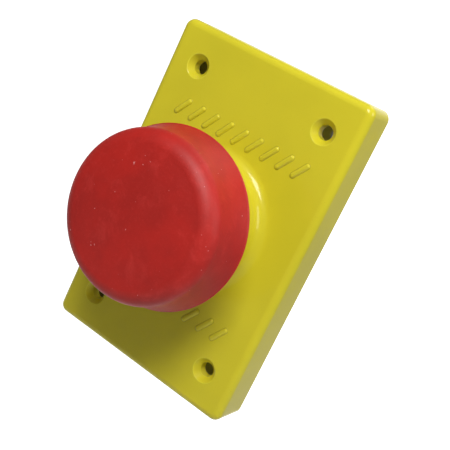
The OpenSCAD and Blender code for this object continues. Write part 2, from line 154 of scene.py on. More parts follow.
class Finish:
    """A material being built. Its shader is a Principled BSDF."""

    def __init__(self, name):
        self.material = bpy.data.materials.new(name)
        self.material.use_nodes = True
        self.tree = self.material.node_tree
        self.shader = self.tree.nodes["Principled BSDF"]
        self.place = self.node("ShaderNodeTexCoord", {}, {}, "Object")

    def node(self, kind, settings, values, output=0):
        """Adds a node: its settings first, then a value or a link for each named socket."""
        made = self.tree.nodes.new(kind)
        for key, value in settings.items():
            setattr(made, key, value)
        pairs = values.items() if isinstance(values, dict) else enumerate(values)
        for socket, value in pairs:
            self.plug(made.inputs[socket], value)
        return Wire(self, made.outputs[output])

    def plug(self, socket, value):
        if isinstance(value, Wire):
            self.tree.links.new(value.socket, socket)
        else:
            socket.default_value = value

    def noise(self, per_mm, detail=3, roughness=0.5, distortion=0.0):
        """Noise with that many cells to a millimetre."""
        values = {"Vector": self.place, "Scale": per_mm * 1000, "Detail": detail,
                  "Roughness": roughness, "Distortion": distortion}
        return self.node("ShaderNodeTexNoise", {}, values, "Fac")

    def mix(self, factor, first, second):
        """A colour between first and second. A Mix node has a set of sockets for each kind of data,
        all with the same names, so the colour sockets are picked by their numbers."""
        factor_in, first_in, second_in, colour_out = 0, 6, 7, 2
        values = {factor_in: factor, first_in: first, second_in: second}
        return self.node("ShaderNodeMix", {"data_type": "RGBA"}, values, colour_out)

    def attribute(self, name):
        return self.node("ShaderNodeAttribute", {"attribute_name": name}, {}, "Fac")

    def bump(self, height, depth_mm, strength=1.0, under=None):
        """Relief: height 0 to 1 stands for depth_mm. Under it may lie another bump."""
        values = {"Strength": strength, "Distance": depth_mm * 0.001, "Height": height}
        if under is not None:
            values["Normal"] = under
        return self.node("ShaderNodeBump", {}, values, "Normal")

    def surface(self, **sockets):
        """Sets the shader's sockets: Base_Color=... for "Base Color"."""
        for name, value in sockets.items():
            self.plug(self.shader.inputs[name.replace("_", " ")], value)
        return self.material


def srgb(red, green, blue):
    """A colour given in 0..255 screen values, as the linear colour that the shader wants."""
    screen = np.array([red, green, blue]) / 255
    linear = np.where(screen <= 0.04045, screen / 12.92, ((screen + 0.055) / 1.055) ** 2.4)
    return (*linear.tolist(), 1.0)


def toned(colour, share, lift=0.0):
    """The colour times a share, plus a grey lift, held at 1."""
    return (*(min(1.0, share * channel + lift) for channel in colour[:3]), 1.0)


print("a screen grey of 128 is", round(srgb(128, 128, 128)[0], 3), "in linear light")

# %% [markdown]
# ## The yellow enamel
# The cover is a die casting under a glossy baked coat. The coat keeps a faint orange-peel ripple
# and a few dust specks. Its sharp edges are painted paler, as a painted highlight, and its hollows
# and corners darker, as painted shade. Every cast skin below stores how sharply it curves, so the
# material can find edges and corners.

# %% Enamel
def enamel(name, colour, edge_highlight_colour, dust_and_shade_colour, roughness):
    """Glossy coat: colour drifts slowly, edges are painted paler as a highlight, hollows and corners
    are painted darker as shade, and dust specks share that dark colour.
    """
    coat = Finish(name)
    drift = coat.noise(0.035, 2)
    peel = coat.noise(0.9, 2)
    speck = coat.noise(3.2, 1).clamped(0.70, 0.78)
    ridge = coat.attribute("ridge").clamped(0.4, 3.0)
    hollow = coat.attribute("hollow").clamped(0.5, 3.0)
    smudge = coat.noise(0.12, 4, 0.6).clamped(0.45, 0.75)
    base = coat.mix(drift.clamped(0.3, 0.7), colour, toned(colour, 0.93))
    # Painted highlight: sharp edges are painted paler.
    base = coat.mix(ridge * 0.5, base, edge_highlight_colour)
    # Painted shade: hollows and corners are painted darker; the dust specks take the same dark colour.
    base = coat.mix(hollow * 0.35 + speck * 0.25, base, dust_and_shade_colour)
    normal = coat.bump(peel, 0.012, 0.6, coat.bump(drift, 0.3, 0.25))
    return coat.surface(Base_Color=base, Roughness=roughness + smudge * 0.08, Normal=normal,
                        Coat_Weight=0.5 - smudge * 0.15, Coat_Roughness=0.06, Coat_IOR=1.5,
                        Specular_IOR_Level=0.15)


finishes = {"yellow_enamel": enamel("yellow_enamel", srgb(222, 209, 46), srgb(236, 230, 70),
                                    srgb(120, 105, 30), 0.30)}
print("coats:", *finishes)

# %% [markdown]
# ## Moulded plastics and rubber
# A moulding copies its tool: the head's tool was sand-blasted, so its face has a fine, even grain
# with tiny bright specks. Handling rubs the grain flatter along the shoulder, and there the colour
# is also painted paler, as a painted sheen. The contact blocks are plain, harder plastics, and the
# seals are black rubber with a matt bloom.

# %% Plastics
def moulded(name, colour, roughness, grain_per_mm, grain_mm):
    """Moulded plastic: slow drift of colour, scuffs, fine grain in relief and gloss, bright specks,
    and rubbed ridges that are also painted paler as a sheen."""
    plastic = Finish(name)
    drift = plastic.noise(0.06, 4, 0.6)
    grain = plastic.noise(grain_per_mm, 3, 0.7)
    speck = plastic.noise(grain_per_mm * 0.9, 0).clamped(0.83, 0.88)
    scuff = plastic.noise(0.11, 5, 0.7, 0.6).clamped(0.5, 0.72)
    ridge = plastic.attribute("ridge").clamped(0.1, 1.5)
    paler = toned(colour, 1.3, 0.03)
    base = plastic.mix(drift.clamped(0.3, 0.7), colour, toned(colour, 0.8))
    # Painted sheen: the ridge share paints the shoulder and other ridges paler; grain and scuffs are
    # the plastic's own paler marks.
    base = plastic.mix(grain.clamped(0.5, 0.8) * 0.25 + scuff * 0.3 + ridge * 0.12, base, paler)
    base = plastic.mix(speck * 0.7, base, toned(paler, 0.7, 0.3))
    normal = plastic.bump(grain, grain_mm, 0.8)
    gloss = roughness + (grain - 0.5) * 0.12 - ridge * 0.05
    return plastic.surface(Base_Color=base, Roughness=gloss, Normal=normal)


def rubber(name, colour):
    """Matt rubber or foam: fine pores, and a dusty bloom that is paler and duller."""
    seal = Finish(name)
    bloom = seal.noise(0.25, 4, 0.6).clamped(0.4, 0.8)
    pores = seal.noise(3.0, 2)
    base = seal.mix(bloom, colour, toned(colour, 1, 0.02))
    return seal.surface(Base_Color=base, Roughness=0.72 + bloom * 0.15,
                        Normal=seal.bump(pores, 0.02, 0.7))


mouldings = {
    "red_plastic": moulded("red_plastic", srgb(190, 26, 14), 0.54, 1.3, 0.05),
    "black_rubber": rubber("black_rubber", srgb(24, 24, 26)),
    "grey_foam": rubber("grey_foam", srgb(150, 150, 148)),
    "black_plastic": moulded("black_plastic", srgb(30, 30, 32), 0.45, 1.6, 0.02),
    "grey_plastic": moulded("grey_plastic", srgb(128, 132, 134), 0.42, 1.4, 0.015),
    "red_cover_plastic": moulded("red_cover_plastic", srgb(170, 30, 26), 0.4, 1.4, 0.015),
    "green_cover_plastic": moulded("green_cover_plastic", srgb(24, 122, 54), 0.4, 1.4, 0.015),
    "ivory_plastic": moulded("ivory_plastic", srgb(226, 219, 198), 0.38, 1.2, 0.01),
}
finishes.update(mouldings)
print("mouldings:", *mouldings)

# %% [markdown]
# ## Metals
# Plated steel, brass and copper strip are all metal with different scratches. Stretching the noise
# along one axis draws the marks of the tool or the rolling mill; a slow noise makes the plating
# cloudy.

# %% Metals
def metal(name, colour, roughness, streak, streaks_per_mm, tarnish):
    """Metal: tool marks stretched by streak, clouds of tarnish that darken and dull it."""
    plate = Finish(name)
    stretched = plate.node("ShaderNodeMapping", {}, {"Vector": plate.place, "Scale": streak})
    marks = plate.node("ShaderNodeTexNoise", {}, {"Vector": stretched, "Detail": 3,
                                                  "Scale": streaks_per_mm * 1000}, "Fac")
    cloud = plate.noise(0.3, 4, 0.6).clamped(0.4, 0.75)
    base = plate.mix(cloud, colour, toned(colour, 1 - tarnish))
    return plate.surface(Base_Color=base, Metallic=1.0,
                         Roughness=roughness + marks * 0.12 + cloud * 0.1,
                         Normal=plate.bump(marks, 0.01, 0.5))


metals = {
    "zinc_steel": metal("zinc_steel", srgb(200, 203, 208), 0.24, (1, 1, 0.15), 3.0, 0.2),
    "die_cast_zinc": metal("die_cast_zinc", srgb(150, 152, 156), 0.38, (1, 1, 1), 1.5, 0.25),
    "spring_steel": metal("spring_steel", srgb(170, 172, 176), 0.22, (1, 1, 1), 4.0, 0.3),
    "green_steel": metal("green_steel", srgb(40, 150, 74), 0.3, (1, 1, 0.2), 3.0, 0.3),
    "brass": metal("brass", srgb(214, 176, 96), 0.25, (0.15, 1, 1), 3.0, 0.35),
    "copper": metal("copper", srgb(214, 142, 100), 0.25, (1, 1, 0.15), 3.0, 0.4),
    "silver": metal("silver", srgb(226, 226, 222), 0.3, (1, 1, 1), 3.0, 0.25),
}
finishes.update(metals)
print("metals:", *metals)

# %% [markdown]
# ## One material for each slot
# The record names a material slot for every node, and every slot now has its finish. Each node of
# the design gets its own at once, and a piece that is drawn anew below only has to name its slot.
# The record also says which body each node rides on, and how far the button moves.

# %% Finishes of the slots
slot_of_node = {part["node"]: part["material_slot"] for part in frame["record"]["subparts"]}
behaviour = frame["record"]["behaviour"]
body_of_node = {node: body for body, nodes in behaviour["bodies"].items() for node in nodes}
push = next(joint for joint in behaviour["joints"] if joint["name"] == "button_push")
travel = push["range_m"][1]
for node_name, node_object in frame["nodes"].items():
    node_object.data.materials.clear()
    node_object.data.materials.append(finishes[slot_of_node[node_name]])
print(len(finishes), "finishes; the button moves", round(travel * 1000, 2), "mm")

# %% [markdown]
# ## Skins from rings
# Most of this object is turned or cast: its surfaces are stacks of rings. A ring here is all points
# at one distance from a small rectangle, so one formula gives circles, rounded rectangles and, with
# a lean, slanted bars. A path of corners, each with its rounding, says how the stack rises. Pieces
# are drawn in millimetres, lying on their back, and `to_frame` hangs them up.

# %% Paths and rings
ARC_STEP = 7.5
MM = 0.001


def to_frame(points):
    """Drawn (width, height, out) in millimetres becomes (x, y, z) in metres: out is towards -Y."""
    points = np.asarray(points, float)
    return np.stack([points[..., 0], -points[..., 2], points[..., 1]], axis=-1) * MM


def rounded_path(corners):
    """A path through (radius, height, rounding) corners. A corner with a rounding becomes an arc
    that touches both its legs, at rounding / tan(half the angle between them) from the corner, with
    one more point just outside each end, so that the flats beside it stay flat."""
    corners = np.array(corners, float)
    path = [corners[:1, :2]]
    for before, corner, after in zip(corners[:-2], corners[1:-1], corners[2:]):
        point, rounding = corner[:2], corner[2]
        if rounding == 0:
            path.append(point[None])
            continue
        back = before[:2] - point
        ahead = after[:2] - point
        back /= np.linalg.norm(back)
        ahead /= np.linalg.norm(ahead)
        half = math.acos(np.clip(back @ ahead, -1, 1)) / 2
        reach = rounding / math.tan(half)
        middle = point + (back + ahead) / np.linalg.norm(back + ahead) * rounding / math.sin(half)
        sweep = math.pi - 2 * half
        share = np.linspace(0, 1, max(2, round(math.degrees(sweep) / ARC_STEP)) + 1)[:, None]
        arc = middle + (np.sin((1 - share) * sweep) * (point + back * reach - middle)
                        + np.sin(share * sweep) * (point + ahead * reach - middle)) / math.sin(sweep)
        collar = min(0.15, 0.12 * rounding + 0.03)
        path += [(point + back * (reach + collar))[None], arc, (point + ahead * (reach + collar))[None]]
    path.append(corners[-1:, :2])
    return np.concatenate(path)


def rings(path, half_width=0.0, half_height=0.0, steps=32, tilt=0.0, centre=(0, 0)):
    """A ring for each (radius, height) of the path: the points at that radius from a rectangle of
    that half width and height, a quarter turn of steps + 1 points at each of its corners. The tilt
    turns the rectangle clockwise about its centre, in radians."""
    turn = np.radians(90 * np.arange(4)[:, None] + np.linspace(0, 90, steps + 1)[None])
    side = np.array([1, -1, -1, 1])[:, None]
    top = np.array([1, 1, -1, -1])[:, None]
    radius = path[:, 0, None, None]
    x = half_width * side + radius * np.cos(turn)
    y = half_height * top + radius * np.sin(turn)
    z = np.broadcast_to(path[:, 1, None, None], x.shape)
    tilted_x = x * math.cos(tilt) + y * math.sin(tilt)
    tilted_y = y * math.cos(tilt) - x * math.sin(tilt)
    points = np.stack([tilted_x + centre[0], tilted_y + centre[1], z], axis=-1)
    return points.reshape(len(path), -1, 3)


# %% [markdown]
# ## From rings to a piece
# `Skin` gathers stacks of rings and flat areas into one mesh. Where the borders of two of them meet,
# they have the same points, so merging those closes the skin. Every skin stores how sharply it
# curves at each point, which the enamel uses for its painted edge highlight and its painted shade
# in hollows, and the plastics for the painted sheen on their rubbed ridges.

# %% Skin
class Skin:
    """Surfaces collected into one mesh. Where their borders meet, their points are merged."""

    def __init__(self):
        self.points, self.faces, self.count = [], [], 0

    def add(self, points, faces):
        self.points.append(np.asarray(points, float).reshape(-1, 3))
        self.faces += [tuple(self.count + int(i) for i in face) for face in faces]
        self.count += len(self.points[-1])

    def rings(self, stack, inside_out=False):
        """Joins each ring of the stack to the next with quads."""
        rows, columns = stack.shape[:2]
        row = np.arange(rows - 1)[:, None] * columns
        here, beside = np.arange(columns)[None], (np.arange(columns)[None] + 1) % columns
        quads = np.stack([row + here, row + beside, row + columns + beside, row + columns + here], -1)
        quads = quads.reshape(-1, 4)
        self.add(stack, quads[:, ::-1] if inside_out else quads)

    def lid(self, ring, facing_out=True):
        """Closes a ring whose radius is 0: what is left of it is its rectangle's four corners."""
        quarter = len(ring) // 4
        corners = ring[[0, quarter, 2 * quarter, 3 * quarter]]
        self.add(corners, [(0, 1, 2, 3) if facing_out else (3, 2, 1, 0)])

    def flat(self, loops, facing_out=True):
        """Fills the flat area inside the first loop and outside the others with triangles. The
        inner loops bulge outwards everywhere, so a triangle with all its corners on one inner loop
        lies inside that loop, and is left out."""
        points = np.concatenate(loops)
        starts = np.cumsum([0] + [len(loop) for loop in loops])
        loop_of = np.repeat(np.arange(len(loops)), [len(loop) for loop in loops])
        edges = [np.stack([np.arange(len(loop)), (np.arange(len(loop)) + 1) % len(loop)], 1) + start
                 for start, loop in zip(starts, loops)]
        only_inside = 1
        filled = delaunay_2d_cdt([Vector(p) for p in points[:, :2].tolist()],
                                 np.concatenate(edges).tolist(), [], only_inside, 1e-6)
        first_source = np.array([sources[0] for sources in filled[3]])
        faces = first_source[np.array([tuple(face) for face in filled[2]])]
        owner = loop_of[faces]
        in_hole = (owner[:, 0] > 0) & (owner[:, 0] == owner[:, 1]) & (owner[:, 0] == owner[:, 2])
        faces = faces[~in_hole]
        self.add(points, faces if facing_out else faces[:, ::-1])

    def piece(self, name, body, slot, node):
        """Makes the mesh, stores its curvature, and hands it to the frame."""
        mesh = bpy.data.meshes.new(name)
        mesh.from_pydata(to_frame(np.concatenate(self.points)).tolist(), [], self.faces)
        return finish_piece(mesh, body, slot, node)


# %% Merging and curvature
MERGE_DISTANCE = 2e-6
skin_sharp_angle = math.radians(38)


def stand_in(mesh, body, slot, node):
    """An object of that mesh in the slot's finish. It rides on the body, in the place of a node."""
    mesh.materials.append(finishes[slot])
    piece = bpy.data.objects.new(mesh.name, mesh)
    bpy.context.scene.collection.objects.link(piece)
    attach(piece, body)
    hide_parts(node)
    return piece


def finish_piece(mesh, body, slot, node):
    """Merges borders, shades smooth up to the sharp angle, and puts the piece on its body."""
    work = bmesh.new()
    work.from_mesh(mesh)
    bmesh.ops.remove_doubles(work, verts=work.verts, dist=MERGE_DISTANCE)
    bmesh.ops.dissolve_degenerate(work, edges=work.edges, dist=1e-7)
    work.to_mesh(mesh)
    open_edges = sum(1 for edge in work.edges if len(edge.link_faces) != 2)
    work.free()
    store_curvature(mesh)
    mesh.shade_smooth()
    mesh.set_sharp_from_angle(angle=skin_sharp_angle)
    print(f"{mesh.name}: {len(mesh.polygons)} faces, {open_edges} open edges")
    return stand_in(mesh, body, slot, node)


def store_curvature(mesh):
    """Along an edge, the change of the normal over the edge's length is the curvature: positive on
    a ridge, negative in a hollow. Each point keeps its strongest, in 1/mm, as two attributes."""
    count, edge_count = len(mesh.vertices), len(mesh.edges)
    points, normals = np.empty(count * 3), np.empty(count * 3)
    ends = np.empty(edge_count * 2, int)
    mesh.vertices.foreach_get("co", points)
    mesh.vertices.foreach_get("normal", normals)
    mesh.edges.foreach_get("vertices", ends)
    points, normals, ends = points.reshape(-1, 3) / MM, normals.reshape(-1, 3), ends.reshape(-1, 2)
    along = points[ends[:, 1]] - points[ends[:, 0]]
    bend = np.einsum("ij,ij->i", normals[ends[:, 1]] - normals[ends[:, 0]], along)
    bend /= np.maximum(np.einsum("ij,ij->i", along, along), 1e-6)
    ridge, hollow = np.zeros(count), np.zeros(count)
    np.maximum.at(ridge, ends.ravel(), np.repeat(bend, 2))
    np.maximum.at(hollow, ends.ravel(), np.repeat(-bend, 2))
    for name, values in (("ridge", ridge), ("hollow", hollow)):
        mesh.attributes.new(name, "FLOAT", "POINT").data.foreach_set("value", values)


# %% [markdown]
# ## The cover
# One casting, open at the back. Its skin is a few stacks of rings: the walls with the rounded front
# edge, the boss with the hollow that blends it into the face, four countersunk holes, and the
# raised bars. Between their outer rings the face and the ceiling behind it are flat, so they are
# filled with triangles. A boolean would leave ragged shading around every hole.

# %% Cover sizes
cover_low, cover_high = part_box("cover")
cover_w = (cover_high.x - cover_low.x) / MM
cover_h = (cover_high.z - cover_low.z) / MM
boss_top = -cover_low.y / MM
cover_d, face_t, wall_t = 15.9, 3.2, 3.0
corner_r, edge_r = 3.2, 2.7
cavity_z = cover_d - face_t
cavity_corner_r = 2.0
boss_r, boss_draft, boss_fillet, boss_round = 20.8, 0.4, 4.2, 1.5
pocket_r, pocket_z, mount_hole_r = 17, boss_top - 3.6, 11.15
screw_mount = next(m for m in frame["record"]["mounts"] if m["name"] == "cover_screws")
hole_x = screw_mount["dims"]["spacing_x_mm"] / 2
hole_y = screw_mount["dims"]["spacing_y_mm"] / 2
hole_r = screw_mount["dims"]["hole_r_mm"]
sink_r, sink_depth = 4.2, 2.0
hole_pad_r, hole_pad_z = 5.2, 10.4
mark_count, mark_pitch, mark_raise = 9, 6.0, 0.6
mark_w, mark_h, mark_slant, mark_draft = 1.9, 6.6, 3.2, 0.5
mark_rows = (29.6, -30.3)
ground_y, ground_pad_r, ground_pad_z, ground_shank_r = -42, 4.5, 9, 1.8
gasket_t, rib_w, rib_proud, rib_tuck = 2, 3, 2.6, 0.3
side_rib_heights, end_rib_places = (-40, -14, 14, 40), (-18, 18)
print(f"cover {cover_w:.1f} x {cover_h:.1f} mm, boss top at {boss_top:.1f}")


# %% Walls and boss
def add_walls(skin):
    """The cavity's walls and the outer walls, joined at the back rim. Like the functions below, it
    starts and ends its path a little way along the flat face and the flat ceiling behind it, and
    returns its borders there."""
    cavity_corner_x = cover_w / 2 - wall_t - cavity_corner_r
    cavity_corner_y = cover_h / 2 - wall_t - cavity_corner_r
    inner = rings(rounded_path([(0.2, cavity_z, 0), (cavity_corner_r, cavity_z, 1.2),
                                (cavity_corner_r, 0, 0.3), (cavity_corner_r + 0.9, 0, 0)]),
                  cavity_corner_x, cavity_corner_y, steps=8)
    outer = rings(rounded_path([(corner_r - 0.9, 0, 0), (corner_r, 0, 0.3),
                                (corner_r, cover_d, edge_r), (0.15, cover_d, 0)]),
                  cover_w / 2 - corner_r, cover_h / 2 - corner_r, steps=8)
    skin.rings(np.concatenate([inner, outer]))
    return outer[-1], inner[0]


def add_boss(skin):
    """The boss with its fillet, the mounting hole through its front, and the pocket behind."""
    boss = rings(rounded_path([(boss_r + boss_draft + boss_fillet + 0.25, cover_d, 0),
                               (boss_r + boss_draft, cover_d, boss_fillet),
                               (boss_r, boss_top, boss_round), (mount_hole_r, boss_top, 0.3),
                               (mount_hole_r, pocket_z, 0.3), (pocket_r, pocket_z, 1.5),
                               (pocket_r, cavity_z, 1.0), (pocket_r + 1.6, cavity_z, 0)]), steps=32)
    skin.rings(boss)
    return boss[0], boss[-1]


# %% Holes, marks and the ground pad
def add_hole(skin, x, y):
    """A countersunk screw hole that goes through a round pad behind the face."""
    hole = rings(rounded_path([(sink_r + 0.9, cover_d, 0), (sink_r, cover_d, 0.4),
                               (hole_r, cover_d - sink_depth, 0.3), (hole_r, hole_pad_z, 0.2),
                               (hole_pad_r, hole_pad_z, 0.4), (hole_pad_r, cavity_z, 0.6),
                               (hole_pad_r + 0.8, cavity_z, 0)]), steps=12, centre=(x, y))
    skin.rings(hole)
    return hole[0], hole[-1]


def add_mark(skin, x, y):
    """A raised bar with round ends that leans to the right by the slant over its height."""
    mark_top = cover_d + mark_raise
    path = rounded_path([(mark_w / 2 + 0.35, cover_d, 0), (mark_w / 2, cover_d, 0.2),
                         (mark_w / 2 - mark_draft, mark_top, 0.7), (0, mark_top, 0)])
    core_length = math.hypot(mark_slant, mark_h - mark_w)
    tilt = math.atan2(mark_slant, mark_h - mark_w)
    bar = rings(path, 0, core_length / 2, steps=5, tilt=tilt, centre=(x, y))
    skin.rings(bar)
    return bar[0], None


def add_ground_pad(skin):
    """A round pad under the ceiling, with a blind hole for the ground screw."""
    pad = rings(rounded_path([(ground_pad_r + 1.4, cavity_z, 0), (ground_pad_r, cavity_z, 0.9),
                              (ground_pad_r, ground_pad_z, 0.4), (ground_shank_r, ground_pad_z, 0.1),
                              (ground_shank_r, cavity_z, 0), (0, cavity_z, 0)]),
                steps=10, centre=(0, ground_y))
    skin.rings(pad, inside_out=True)
    return None, pad[0]


# %% Ribs
def rounded_block(skin, centre, size, low, high, rounding):
    """A box with rounded edges, closed at both ends."""
    end_rounding = 0.9 * rounding
    path = rounded_path([(0, low, 0), (rounding, low, end_rounding),
                         (rounding, high, end_rounding), (0, high, 0)])
    half_width, half_height = size[0] / 2 - rounding, size[1] / 2 - rounding
    stack = rings(path, half_width, half_height, steps=3, centre=centre)
    skin.rings(stack)
    skin.lid(stack[0], False)
    skin.lid(stack[-1])


def add_wall_ribs(skin):
    """Blocks along the cavity's walls, from the gasket up, each tucked into its wall a little."""
    rib_edge_r, low, high = 0.4, gasket_t, cavity_z + rib_tuck
    side_x = cover_w / 2 - wall_t - rib_proud / 2 + rib_tuck / 2
    end_y = cover_h / 2 - wall_t - rib_proud / 2 + rib_tuck / 2
    for side in (-1, 1):
        for y in side_rib_heights:
            rounded_block(skin, (side * side_x, y), (rib_proud + rib_tuck, rib_w), low, high,
                          rib_edge_r)
        for x in end_rib_places:
            rounded_block(skin, (x, side * end_y), (rib_w, rib_proud + rib_tuck), low, high,
                          rib_edge_r)


# %% Cover skin
def make_cover():
    """All of it in one skin, with the face and the ceiling filled between their borders."""
    skin = Skin()
    borders = [add_walls(skin), add_boss(skin)]
    borders += [add_hole(skin, x, y) for x in (-hole_x, hole_x) for y in (-hole_y, hole_y)]
    places = (np.arange(mark_count) - (mark_count - 1) / 2) * mark_pitch
    borders += [add_mark(skin, x, y) for y in mark_rows for x in places.tolist()]
    borders.append(add_ground_pad(skin))
    skin.flat([face for face, ceiling in borders if face is not None])
    skin.flat([ceiling for face, ceiling in borders if ceiling is not None], facing_out=False)
    add_wall_ribs(skin)
    skin.piece("cover_skin", "cover_assembly", "yellow_enamel", "cover")


make_cover()

# %% [markdown]
# ## The mushroom head
# The head is a hollow moulding. Its side leans in from the rim and is a touch hollow, a big soft
# shoulder turns into a face that is almost flat, and eight ribs stiffen it inside. One path turned
# about the axis gives the whole skin, from the bore in its hub round the rim to the middle of the
# face.

# %% Head sizes
head_low, head_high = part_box("mushroom_cap")
rim_r = (head_high.x - head_low.x) / 2 / MM
rim_z, top_z = -head_high.y / MM, -head_low.y / MM
rim_round, side_h, side_hollow = 0.5, 12.5, 0.5
neck_r, shoulder_r, head_wall = 26.5, 5.5, 2.7
shoulder_z, face_r = rim_z + side_h, neck_r - shoulder_r
hub_z, hub_r, insert_r, insert_top, roof_z = 41.5, 9.5, 6.5, 51, 52.6
head_rib_count, head_rib_z, head_rib_t, head_rib_edge_r = 8, 46, 1.6, 0.35
print(f"head {2 * rim_r:.1f} mm wide, from {rim_z:.1f} to {top_z:.1f} in front of the wall")


# %% Head skin
def head_path():
    """The path from the middle of the insert's room over the hub, the roof, the rim, the side and
    the shoulder to the middle of the face. The side sinks in by half a sine wave, and the face
    falls off from its middle with the square of the distance."""
    inside = rounded_path([(0, insert_top, 0), (insert_r, insert_top, 0), (insert_r, hub_z, 0.3),
                           (hub_r, hub_z, 0.5), (hub_r, roof_z, 1.5),
                           (neck_r - head_wall - 1, roof_z, 3.5),
                           (rim_r - head_wall, rim_z, 0.3), (rim_r - head_wall + 1, rim_z, 0)])
    turn = np.radians(np.linspace(-90, 0, 9))[:, None]
    rim = np.hstack([rim_r - rim_round + rim_round * np.cos(turn),
                     rim_z + rim_round + rim_round * np.sin(turn)])
    share = np.linspace(0.06, 1, 28)[:, None]
    side = np.hstack([rim_r + (neck_r - rim_r) * share - side_hollow * np.sin(np.pi * share),
                      rim_z + side_h * share])
    turn = np.radians(np.linspace(6, 90, 22))[:, None]
    shoulder = np.hstack([face_r + shoulder_r * np.cos(turn), shoulder_z + shoulder_r * np.sin(turn)])
    radius = np.linspace(face_r, 0, 24)[1:, None]
    fall = top_z - shoulder_z - shoulder_r
    dome = np.hstack([radius, top_z - fall * (radius / face_r) ** 2])
    return np.concatenate([inside, rim, side, shoulder, dome])


def add_rib(skin, angle, start, end, low, high, thickness):
    """A straight rib that points away from the axis at an angle: a rounded block, turned."""
    own = Skin()
    middle, size = ((start + end) / 2, 0), (end - start, thickness)
    rounded_block(own, middle, size, low, high, head_rib_edge_r)
    x, y, z = np.concatenate(own.points).T
    turned_points = np.stack([x * math.cos(angle) - y * math.sin(angle),
                              x * math.sin(angle) + y * math.cos(angle), z], -1)
    skin.add(turned_points, own.faces)


def make_head():
    """The turned skin with the ribs under its roof, each tucked into the hub and the wall."""
    skin = Skin()
    skin.rings(rings(head_path(), steps=36))
    for rib in range(head_rib_count):
        add_rib(skin, 2 * math.pi * rib / head_rib_count, hub_r - 0.4, neck_r - head_wall + 0.6,
                head_rib_z, roof_z + 0.3, head_rib_t)
    skin.piece("head_skin", "button", "red_plastic", "mushroom_cap")


make_head()

# %% [markdown]
# ## Springs
# The return springs are wound from round wire with the last turn at each end closed, so that it
# stands flat. A tube swept along a helix needs a frame that does not twist: the wire's section is
# built from the direction away from the axis and the direction across the wire. The contact
# springs ride with their plungers; the return springs ride on the cover.

# %% Spring skins
wire_sides, turn_steps, closed_pitch = 10, 28, 2.05


def helix_wire(node, name, body, turns, wire_r):
    """A tube along a helix that fills the node's box. Its angle runs evenly; its height climbs
    hardly more than a wire's thickness over the first turn and over the last, and evenly between
    them."""
    low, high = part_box(node)
    centre = (low + high) / 2 / MM
    coil_r = (high.x - low.x) / 2 / MM - wire_r
    back, front = -high.y / MM + wire_r, -low.y / MM - wire_r
    turn = np.linspace(0, turns, turns * turn_steps + 1)
    lead = closed_pitch * wire_r
    height = np.interp(turn, [0, 1, turns - 1, turns], [back, back + lead, front - lead, front])
    outward = np.stack([np.cos(2 * np.pi * turn), np.sin(2 * np.pi * turn), 0 * turn], 1)
    spine = outward * coil_r + np.stack([0 * turn, 0 * turn, height], 1) + (centre.x, centre.z, 0)
    along = np.gradient(spine, axis=0)
    along /= np.linalg.norm(along, axis=1, keepdims=True)
    across = np.cross(along, outward)[:, None]
    section = np.linspace(0, 2 * np.pi, wire_sides, endpoint=False)[None, :, None]
    stack = spine[:, None] + wire_r * (np.cos(section) * outward[:, None] + np.sin(section) * across)
    skin = Skin()
    skin.rings(stack)
    skin.add(stack[0], [range(wire_sides)[::-1]])
    skin.add(stack[-1], [range(wire_sides)])
    return skin.piece(name, body, "spring_steel", node)


for side in ("nc", "no"):
    helix_wire(f"{side}_contact_spring", f"{side}_contact_coil", f"{side}_contact", 4, 0.25)
    return_coil = helix_wire(f"{side}_return_spring", f"{side}_return_coil", "cover_assembly", 6, 0.3)
    spring_front, spring_foot = (corner.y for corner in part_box(f"{side}_return_spring"))
    1 - travel / (spring_foot - spring_front)
    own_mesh(return_coil)

# %% [markdown]
# ## Turned pieces
# The stem, the bushing and the seals come off a lathe or out of a round mould, so each is one path
# turned about the axis. The bushing's outside is threaded: the thread is a height map on a
# cylinder, a triangle wave whose phase moves on by one turn of the screw for each turn of the angle.

# %% Turned skins
bore_r, sleeve_r, flange_top = 5.04, 11, 23.6
seal_z, seal_room, seal_room_r = 23.2, 1, 6.9
detent_z, detent_room, detent_room_r = 28, 1.4, 7.3
wiper_z, wiper_r = 31, 8
thread_pitch, thread_depth = 1.5, 0.55


def cut_thread(stack, rows, pitch, depth):
    """Moves the points of some rings towards the axis by the depth times a triangle wave of
    height / pitch + angle / full turn, which makes a screw thread of that pitch."""
    x, y, z = np.moveaxis(stack[rows], -1, 0)
    radius = np.hypot(x, y)
    phase = (z / pitch + np.arctan2(y, x) / (2 * np.pi)) % 1
    share = 1 - depth * np.abs(2 * phase - 1) / radius
    stack[rows] = np.stack([x * share, y * share, z], -1)


def turned(name, body, slot, node, path):
    """One path of (radius, height) points, turned about the button's axis."""
    skin = Skin()
    skin.rings(rings(path, steps=24))
    skin.piece(name, body, slot, node)


